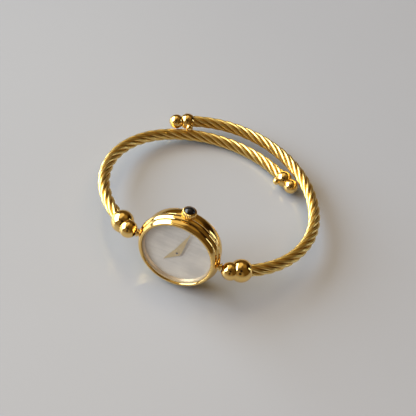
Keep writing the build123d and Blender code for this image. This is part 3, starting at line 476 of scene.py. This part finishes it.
def make_case_back():
    """The snap-on back, a plate with a lip that reaches into the band."""
    lip_outer = cavity_radius - fit_gap
    lip_inner = lip_outer - back_lip_wall
    lip_top = back_face + back_lip_height
    seat = back_face - fit_gap
    profile = [(0, back_outer_face), (back_radius - back_bevel, back_outer_face),
               (back_radius, back_outer_face + back_bevel), (back_radius, seat), (lip_outer, seat),
               (lip_outer, lip_top), (lip_inner, lip_top), (lip_inner, seat), (0, seat)]
    turned_piece("case_back_turned", profile, dial_to_row, steel, "head", ("case_back",))


def make_flange_ring():
    """The pale ring that slopes down from the crystal to the dial."""
    low = dial_top + fit_gap
    high = crystal_bottom - fit_gap
    profile = [(dial_opening_radius, low), (flange_outer_radius, low), (flange_outer_radius, high),
               (flange_outer_radius - flange_wall, high)]
    turned_piece("flange_ring_turned", profile, dial_to_row, pale_gold, "head",
                 ("flange_ring",))


def make_crystal_piece():
    """The flat crystal, bevelled at its upper edge."""
    profile = [(0, crystal_bottom), (crystal_radius, crystal_bottom),
               (crystal_radius, crystal_top - crystal_bevel), (crystal_radius - crystal_bevel, crystal_top),
               (0, crystal_top)]
    turned_piece("crystal_pane", profile, dial_to_row, crystal_glass, "head", ("crystal",))


def make_dial():
    """The plain dial, with the hole for the hands' arbor."""
    profile = [(dial_hole_radius, dial_bottom), (dial_radius, dial_bottom), (dial_radius, dial_top),
               (dial_hole_radius, dial_top)]
    turned_piece("dial_plate", profile, dial_to_row, pearl, "head", ("dial",))


# Hands

def make_hand(name, length, tail, level, angle, bore, body, node):
    """A blade, widest at its shoulder, with a spine along it, and the hub on the arbor or pipe."""
    top = level + hand_thickness
    low = level + hand_thickness * hand_edge_share
    half = hand_half_width
    turn = Matrix.Rotation(math.radians(90 - angle), 4, "Z")
    points, faces = [], []
    for step in range(hand_steps + 1):
        x = -tail + (length + tail) * step / hand_steps
        if x < hand_shoulder:
            width = half * (x + tail) / (hand_shoulder + tail)
        else:
            width = half * (length - x) / (length - hand_shoulder)
        width = max(width, hand_tip_half_width)
        section = [(x, -width, level), (x, -width, low), (x, 0, top), (x, width, low), (x, width, level)]
        points += section
    count = len(section)
    for step in range(hand_steps):
        here = step * count
        for index in range(count):
            after = (index + 1) % count
            faces.append((here + index, here + count + index, here + count + after, here + after))
    faces.append(tuple(range(count)))
    faces.append(tuple(hand_steps * count + index for index in range(count)))
    blade = new_mesh(name, points, faces, dial_to_row @ turn)
    finish_piece(name, blade, hand_gold, body, (node,), hand_crease_angle)
    hub = [(bore, level), (hand_hub_radius, level), (hand_hub_radius, low),
           (hand_hub_radius - hand_hub_bevel, top), (bore, top)]
    turned_piece(name + "_hub", hub, dial_to_row, hand_gold, body, (), small_segments,
                 hand_crease_angle)


# Crown

def make_crown():
    """The fluted cup of the crown, and the domed stone set in it."""
    seat = crown_tip - cabochon_seat_depth
    setting = cabochon_radius + fit_gap
    floor = crown_base + crown_recess_depth
    low_corner = (crown_radius - crown_base_round, crown_base + crown_base_round)
    top_corner = (crown_radius - crown_top_round, crown_tip - crown_top_round)
    profile = [(crown_recess_radius, crown_base)]
    profile += arc(low_corner, crown_base_round, -90, 0, crown_corner_steps)
    profile += arc(top_corner, crown_top_round, 0, 90, crown_corner_steps)
    profile += [(setting, crown_tip), (setting, seat), (stem_radius, seat), (stem_radius, floor),
                (crown_recess_radius, floor)]

    def wave(angle, index):
        """The depth of the flutes, in the rows of the crown's side alone."""
        if index not in fluted_rows:
            return 0.0
        return flute_depth * ((1 - math.cos(crown_flutes * angle)) / 2) ** 2

    stem = to_row @ Matrix.Translation((0, -crown_level, 0))
    turned_piece("crown_fluted", profile, stem, gold, "crown", ("crown",), crown_segments, wave=wave)
    rise = cabochon_height - cabochon_seat_depth
    dome = (cabochon_radius ** 2 + rise ** 2) / (2 * rise)
    spread = math.degrees(math.asin(cabochon_radius / dome))
    top = arc((0, crown_tip + rise - dome), dome, 90 - spread, 90, cabochon_steps)
    stone = [(0, seat), (cabochon_radius, seat)] + top
    turned_piece("crown_stone", stone, stem, black_stone, "crown", ("crown_cabochon",),
                 small_segments)


# Arms

def knuckle_place(arm):
    """Middle of the small bead, which is also the middle of the arm's hinge."""
    return Vector((arm["side"] * knuckle_reach, -neck_level, 0))


def ferrule_place(arm):
    """Middle of the large bead, where the cable's middle line begins."""
    return Vector((arm["side"] * ferrule_reach, ferrule_set_back, 0))


def arm_length(arm):
    """Length of the cable's middle line, from the large bead to the end bead."""
    return sum(radius * math.radians(turn) for radius, turn in arm["bends"])


def cable_frame(arm, distance):
    """Point, direction and inward direction of a cable's middle, at a distance from its ferrule's centre."""
    out, back, heading = 0.0, 0.0, math.radians(arm["heading"])
    for radius, turn in arm["bends"]:
        angle = min(math.radians(turn), distance / radius)
        out += radius * (math.sin(heading + angle) - math.sin(heading))
        back += radius * (math.cos(heading) - math.cos(heading + angle))
        heading += angle
        distance -= angle * radius
    rise = math.radians(arm["rise"])
    sideways = Vector((arm["side"], 0, 0))
    backwards = Vector((0, math.cos(rise), math.sin(rise)))
    point = ferrule_place(arm) + sideways * out + backwards * back
    direction = sideways * math.cos(heading) + backwards * math.sin(heading)
    inward = backwards * math.cos(heading) - sideways * math.sin(heading)
    return point, direction, inward


def strand_place(arm, distance, start_angle):
    """Point and outward direction of a strand's middle line, which winds right-handed round the cable's."""
    point, direction, inward = cable_frame(arm, distance)
    angle = start_angle + full_turn * distance / lay_pitch
    outward = inward * math.cos(angle) + direction.cross(inward) * math.sin(angle)
    return point + outward * strand_offset, outward


def strand_section():
    """The outline of one strand: a ring of fine wires, as angle and radius."""
    outline = []
    for step in range(wire_count * wire_steps):
        angle = full_turn * step / (wire_count * wire_steps)
        lobe = math.sin(half_turn * (step % wire_steps) / wire_steps)
        outline.append((angle, strand_radius - wire_groove * (1 - lobe ** wire_roundness)))
    return outline


def strand_frame(arm, distance, start_angle, length):
    """Middle point of a strand, with the outward and sideways directions square to the strand."""
    centre, outward = strand_place(arm, distance, start_angle)
    ahead = strand_place(arm, min(distance + direction_step, length), start_angle)[0]
    behind = strand_place(arm, max(distance - direction_step, 0), start_angle)[0]
    along = (ahead - behind).normalized()
    across = along.cross(outward).normalized()
    return centre, across.cross(along), across


def make_strands(arm):
    """Six strands laid round the core, each a bundle of fine wires."""
    section = strand_section()
    count = len(section)
    length = arm_length(arm)
    rings = int(length / ring_spacing)
    points, faces, painted_light_share = [], [], []
    # Painted shade: the share of light drops on the side of each strand that faces inwards and in the grooves
    # between its wires
    painted_light_section = [math.cos(angle) - wire_groove_shade * (strand_radius - radius) / wire_groove
                    for angle, radius in section]
    for strand in range(strand_count):
        start_angle = full_turn * strand / strand_count
        base = len(points)
        for ring in range(rings + 1):
            centre, outward, across = strand_frame(arm, length * ring / rings, start_angle, length)
            for angle, radius in section:
                points.append(centre + (outward * math.cos(angle) + across * math.sin(angle)) * radius)
            painted_light_share += painted_light_section
        for ring in range(rings):
            here = base + ring * count
            for index in range(count):
                after = (index + 1) % count
                faces.append((here + index, here + after, here + count + after, here + count + index))
        faces.append(tuple(base + index for index in range(count)))
        faces.append(tuple(base + rings * count + index for index in range(count)))
    name = arm["name"] + "_laid_cable"
    mesh = new_mesh(name, points, faces, to_row)
    # The strands carry their painted shade as a mask on the mesh
    mesh.attributes.new("painted_light_share", "FLOAT", "POINT").data.foreach_set("value", painted_light_share)
    finish_piece(name, mesh, cable_gold, arm["body"], (arm["name"] + "_cable_strands",),
                 strand_crease_angle)


def axis_matrix(origin, direction):
    """A frame in row metres whose Z runs along a direction of the bangle frame."""
    turn = direction.to_track_quat("Z", "Y").to_matrix().to_4x4()
    return to_row @ Matrix.Translation(origin) @ turn


def waist(first_radius, second_radius, distance):
    """How far from the first ball's middle two joined balls meet."""
    return (distance ** 2 + first_radius ** 2 - second_radius ** 2) / (2 * distance)


def bored_bead_profile(radius):
    """A bead from the floor of its cable bore, out over the bore's lip and round to the far pole."""
    bore = cable_radius + bore_gap
    lip_radius = bore + bore_lip
    mouth = -math.sqrt(radius ** 2 - lip_radius ** 2)
    start = math.degrees(math.asin(lip_radius / radius)) - 90
    out_share, back_share = lip_middle_shares
    profile = [(0, 0), (bore, 0), (bore, mouth + bore_lip * bore_edge_share),
               (bore + bore_lip * out_share, mouth - bore_lip * back_share)]
    return profile + arc((0, 0), radius, start, 90, bead_steps)


def cut_ball(name, profile, matrix, point, direction):
    """A turned ball, kept behind a plane in row metres, with the cut closed."""
    points, faces = lathe(profile, bead_segments, False)
    mesh = new_mesh(name, points, faces, matrix)
    tidy_mesh(mesh)
    cutter = bmesh.new()
    cutter.from_mesh(mesh)
    geometry = cutter.verts[:] + cutter.edges[:] + cutter.faces[:]
    result = bmesh.ops.bisect_plane(cutter, geom=geometry, plane_co=point, plane_no=direction,
                                    clear_outer=True)
    rim = [item for item in result["geom_cut"] if isinstance(item, bmesh.types.BMEdge)]
    bmesh.ops.triangle_fill(cutter, edges=rim, use_beauty=True)
    cutter.to_mesh(mesh)
    cutter.free()
    return mesh


def slot_cutter(arm):
    """The room that the hinge tongue needs in a knuckle bead, as it swings, with the eye round the pin."""
    side = arm["side"]
    centre = knuckle_place(arm)
    reach = knuckle_radius * slot_reach_share
    low, high = math.radians(swing_low), math.radians(swing_high)

    def spoke(angle, along, across):
        """A point on a line from the knuckle to the case, swung about the hinge."""
        turned = Matrix.Rotation(angle * side, 3, "Z") @ Vector((-side, 0, 0))
        normal = Vector((-turned.y, turned.x, 0)) * side
        return centre + turned * along + normal * across

    ring = [spoke(low, reach, -slot_half_width)]
    ring += [spoke(low + (high - low) * step / swing_steps, reach, 0) for step in range(1, swing_steps)]
    ring += [spoke(high, reach, slot_half_width), spoke(high, 0, slot_eye_radius)]
    for step in range(1, eye_steps):
        turn = high + half_turn / 2 + (half_turn - (high - low)) * step / eye_steps
        ring.append(spoke(turn, slot_eye_radius, 0))
    ring.append(spoke(low, 0, -slot_eye_radius))
    points = [point + Vector((0, 0, level)) for level in (-slot_half_height, slot_half_height)
              for point in ring]
    count = len(ring)
    faces = [tuple(range(count)), tuple(range(2 * count - 1, count - 1, -1))]
    for index in range(count):
        after = (index + 1) % count
        faces.append((index, after, after + count, index + count))
    mesh = new_mesh("slot_cutter", points, faces, to_row)
    tidy_mesh(mesh)
    return new_object("slot_cutter", mesh)


def cut_slot(piece, arm):
    """Takes the hinge tongue's room out of a knuckle bead."""
    cutter = slot_cutter(arm)
    modifier = piece.modifiers.new("slot", "BOOLEAN")
    modifier.operation = "DIFFERENCE"
    modifier.solver = "EXACT"
    modifier.object = cutter
    bpy.context.view_layer.update()
    shaped = bpy.data.meshes.new_from_object(piece.evaluated_get(bpy.context.evaluated_depsgraph_get()))
    piece.modifiers.clear()
    piece.data = shaped
    bpy.data.objects.remove(cutter)
    smooth_mesh(shaped, crease_angle)


def make_lug_beads(arm):
    """The small bead on the hinge and the large bead on the cable, joined at their waist."""
    name, body = arm["name"], arm["body"]
    knuckle, ferrule = knuckle_place(arm), ferrule_place(arm)
    link = (ferrule - knuckle).normalized()
    row_cut = to_row @ (knuckle + link * waist(knuckle_radius, ferrule_radius, (ferrule - knuckle).length))
    row_link = (to_row.to_3x3() @ link).normalized()
    ball = arc((0, 0), knuckle_radius, -90, 90, knuckle_steps)
    mesh = cut_ball(name + "_knuckle", ball, axis_matrix(knuckle, link), row_cut, row_link)
    piece = finish_piece(name + "_knuckle_ball", mesh, gold, body, (name + "_knuckle_bead",))
    cut_slot(piece, arm)
    _, direction, _ = cable_frame(arm, 0)
    ball = bored_bead_profile(ferrule_radius)
    mesh = cut_ball(name + "_ferrule", ball, axis_matrix(ferrule, -direction), row_cut, -row_link)
    finish_piece(name + "_ferrule_ball", mesh, gold, body, (name + "_ferrule_bead",))


def make_ball_end(arm):
    """The end bead, the tip bead beyond it and the small ball on its inner side."""
    name, body = arm["name"], arm["body"]
    centre, direction, inward = cable_frame(arm, arm_length(arm))
    matrix = axis_matrix(centre, direction)
    cut = waist(end_bead_radius, tip_bead_radius, tip_bead_reach)
    edge = math.sqrt(end_bead_radius ** 2 - cut ** 2)
    bead = [point for point in bored_bead_profile(end_bead_radius) if point[1] < cut]
    bead += [(edge, cut), (0, cut)]
    start = math.degrees(math.asin((cut - tip_bead_reach) / tip_bead_radius))
    tip = [(0, cut), (edge, cut)] + arc((0, tip_bead_reach), tip_bead_radius, start, 90, bead_steps)[1:]
    ball = arc((0, 0), end_ball_radius, -90, 90, small_ball_steps)
    ball_matrix = axis_matrix(centre + inward * end_ball_reach, inward)
    for piece, profile, place, node, segments in (
            ("_end_ball_bead", bead, matrix, "_end_bead", bead_segments),
            ("_tip_ball", tip, matrix, "_tip_bead", bead_segments),
            ("_side_ball", ball, ball_matrix, "_end_ball", small_segments)):
        turned_piece(name + piece, profile, place, gold, body, (name + node,), segments,
                     closed=False)


# Materials of the CAD pieces that show as they are

def dress_cad_pieces():
    """Gives each solid its finish, by its material or, where it differs, by its name."""
    finishes = {
        "gold": gold, "pale_gold": pale_gold, "crystal": crystal_glass, "gasket": rubber, "pearl": pearl,
        "steel": steel, "white_plastic": white_plastic, "plate_brass": plate_brass, "board": board_green,
        "copper": copper, "black_plastic": black_resin, "magnet": magnet_grey, "black_stone": black_stone}
    # The cable cores take the dark gold of painted shade
    own_finishes = {"left_cable_core": shaded_core_gold, "right_cable_core": shaded_core_gold,
                    "crystal_gasket": clear_gasket, "centre_wheel": dark_steel}
    for part in record["subparts"]:
        materials = frame["nodes"][part["node"]].data.materials
        materials.clear()
        materials.append(own_finishes.get(part["node"], finishes[part["material_slot"]]))


# Floor, light and camera

# The floor: its size in metres, its lightest colour and the share of that in its darkest
floor_size = 3.0
floor_colour = (0.38, 0.414, 0.48)
floor_mottle = 0.985
floor_grain = (12.0, 3.0)
floor_roughness = 0.22
floor_specular = 0.6

# The camera: where it looks and from how far, in millimetres, and its picture
camera_azimuth = -13.56
camera_elevation = 52.98
camera_roll = 10.5
camera_distance = 267.64
camera_target = (-0.17, -0.73, 0)
image_pixels = 416
focal_pixels = 873.7
sensor_width = 36.0

# The room: its colours, then patches of it, each with its azimuth, elevation, inner and outer angle
room_colour = (0.11, 0.068, 0.022)
ceiling_colour = (0.13, 0.085, 0.035)
photographer_colour = (0.02, 0.013, 0.008)
corner_colour = (0.02, 0.01, 0.004)
lit_ceiling_colour = (0.3, 0.2, 0.07)
bright_ceiling_colour = (0.95, 0.8, 0.5)
back_wall_colour = (0.11, 0.068, 0.027)
front_colour = (0.3, 0.235, 0.15)
room_patches = [
    ((0, 90, 15, 50), ceiling_colour),
    ((10, 10, 15, 40), back_wall_colour),
    ((-50, 16, 14, 38), corner_colour),
    ((-30, 62, 10, 24), lit_ceiling_colour),
    ((77, 62, 10, 28), bright_ceiling_colour),
    ((36, 57, 12, 24), bright_ceiling_colour),
    ((180, 5, 25, 55), front_colour),
    ((-166, 53, 9, 16), photographer_colour),
    ((-172, 24, 6, 18), photographer_colour)]

# Lamps: place and size in metres, power in watts. The fill warms the floor and isn't mirrored in the gold.
window_place = (-1.5, -0.18, 0.84)
window_size = (2.2, 1.4)
window_power = 70.0
window_colour = (0.82, 0.92, 0.98)
fill_place = (0, 0, 1.6)
fill_size = (2.0, 2.0)
fill_power = 14.0
fill_colour = (1.0, 0.6, 0.28)
strip_place = (0.8, 0.45, 0.24)
strip_size = (0.14, 0.4)
strip_power = 0.5


def make_floor():
    """The blue-grey sheet that the watch stands on."""
    half = floor_size / 2
    corners = [(-half, -half, 0), (half, -half, 0), (half, half, 0), (-half, half, 0)]
    mesh = bpy.data.meshes.new("floor")
    mesh.from_pydata(corners, [], [(0, 1, 2, 3)])
    material, nodes, links = new_material("floor_paper")
    shader = nodes["Principled BSDF"]
    shader.inputs["Roughness"].default_value = floor_roughness
    shader.inputs["Specular IOR Level"].default_value = floor_specular
    low = tuple(value * floor_mottle for value in floor_colour)
    _, ramp = noise_colour(nodes, links, *floor_grain, low, floor_colour)
    links.new(ramp.outputs["Color"], shader.inputs["Base Color"])
    mesh.materials.append(material)
    floor = new_object("floor", mesh)


def add_area(name, place, size, power, colour):
    """A rectangular lamp that faces the watch and stays out of the picture."""
    lamp = bpy.data.lights.new(name, "AREA")
    lamp.shape = "RECTANGLE"
    lamp.size, lamp.size_y = size
    lamp.energy = power
    lamp.color = colour
    item = new_object(name, lamp)
    item.location = place
    item.rotation_euler = (-Vector(place)).to_track_quat("-Z", "Y").to_euler()
    item.visible_camera = False
    return item


def aimed_at(azimuth, elevation):
    """A direction, from its angle to the left of the back and its height."""
    side, rise = math.radians(azimuth), math.radians(elevation)
    return Vector((-math.sin(side) * math.cos(rise), math.cos(side) * math.cos(rise), math.sin(rise)))


def make_world():
    """A dim warm room, dark in one corner and where the photographer stands, bright beside the window."""
    world = bpy.data.worlds.new("room")
    world.use_nodes = True
    nodes, links = world.node_tree.nodes, world.node_tree.links
    background = nodes["Background"]
    place = nodes.new("ShaderNodeTexCoord")

    def facing(direction, inner, outer):
        """1 within an angle of a direction and 0 past a wider one."""
        dot = nodes.new("ShaderNodeVectorMath")
        dot.operation = "DOT_PRODUCT"
        dot.inputs[1].default_value = direction
        spread = nodes.new("ShaderNodeMapRange")
        spread.interpolation_type = "SMOOTHSTEP"
        spread.inputs["From Min"].default_value = math.cos(math.radians(outer))
        spread.inputs["From Max"].default_value = math.cos(math.radians(inner))
        links.new(place.outputs["Generated"], dot.inputs[0])
        links.new(dot.outputs["Value"], spread.inputs["Value"])
        return spread.outputs["Result"]

    def laid_over(under, colour, share):
        """The colour under it where the share is 0 and this colour where it is 1."""
        mix = nodes.new("ShaderNodeMix")
        mix.data_type = "RGBA"
        mix.inputs["B"].default_value = (*colour, 1)
        if isinstance(under, tuple):
            mix.inputs["A"].default_value = (*under, 1)
        else:
            links.new(under, mix.inputs["A"])
        links.new(share, mix.inputs["Factor"])
        return mix.outputs["Result"]

    colour = room_colour
    for (azimuth, elevation, inner, outer), patch in room_patches:
        colour = laid_over(colour, patch, facing(aimed_at(azimuth, elevation), inner, outer))
    links.new(colour, background.inputs["Color"])
    bpy.context.scene.world = world


def make_camera():
    """The camera, where the photograph's was."""
    azimuth, elevation, roll = map(math.radians, (camera_azimuth, camera_elevation, camera_roll))
    forward = Vector((math.sin(azimuth) * math.cos(elevation), math.cos(azimuth) * math.cos(elevation),
                      -math.sin(elevation)))
    level_right = Vector((math.cos(azimuth), -math.sin(azimuth), 0))
    level_up = level_right.cross(forward)
    right = level_right * math.cos(roll) + level_up * math.sin(roll)
    up = level_up * math.cos(roll) - level_right * math.sin(roll)
    camera = bpy.data.cameras.new("camera")
    camera.sensor_width = sensor_width
    camera.lens = focal_pixels / image_pixels * sensor_width
    camera.clip_start = millimetre
    matrix = Matrix((right, up, -forward)).transposed().to_4x4()
    matrix.translation = (Vector(camera_target) - forward * camera_distance) * millimetre
    item = new_object("camera", camera)
    item.matrix_world = matrix
    bpy.context.scene.camera = item


make_camera()
make_floor()
make_world()
add_area("window", window_place, window_size, window_power, window_colour)
add_area("strip", strip_place, strip_size, strip_power, window_colour)
fill = add_area("fill", fill_place, fill_size, fill_power, fill_colour)
fill.visible_glossy = False
bpy.context.scene.view_settings.view_transform = "Standard"

dress_cad_pieces()
make_case_band()
make_bezel()
make_case_back()
make_flange_ring()
make_crystal_piece()
make_dial()
make_hand("hour_hand_blade", hour_hand_length, hour_hand_tail, hour_hand_level, hour_hand_angle,
          hour_pipe_radius, "hour_works", "hour_hand")
make_hand("minute_hand_blade", minute_hand_length, minute_hand_tail, minute_hand_level, minute_hand_angle,
          arbor_radius, "minute_works", "minute_hand")
make_crown()
for arm in (left_arm, right_arm):
    make_strands(arm)
    make_lug_beads(arm)
    make_ball_end(arm)
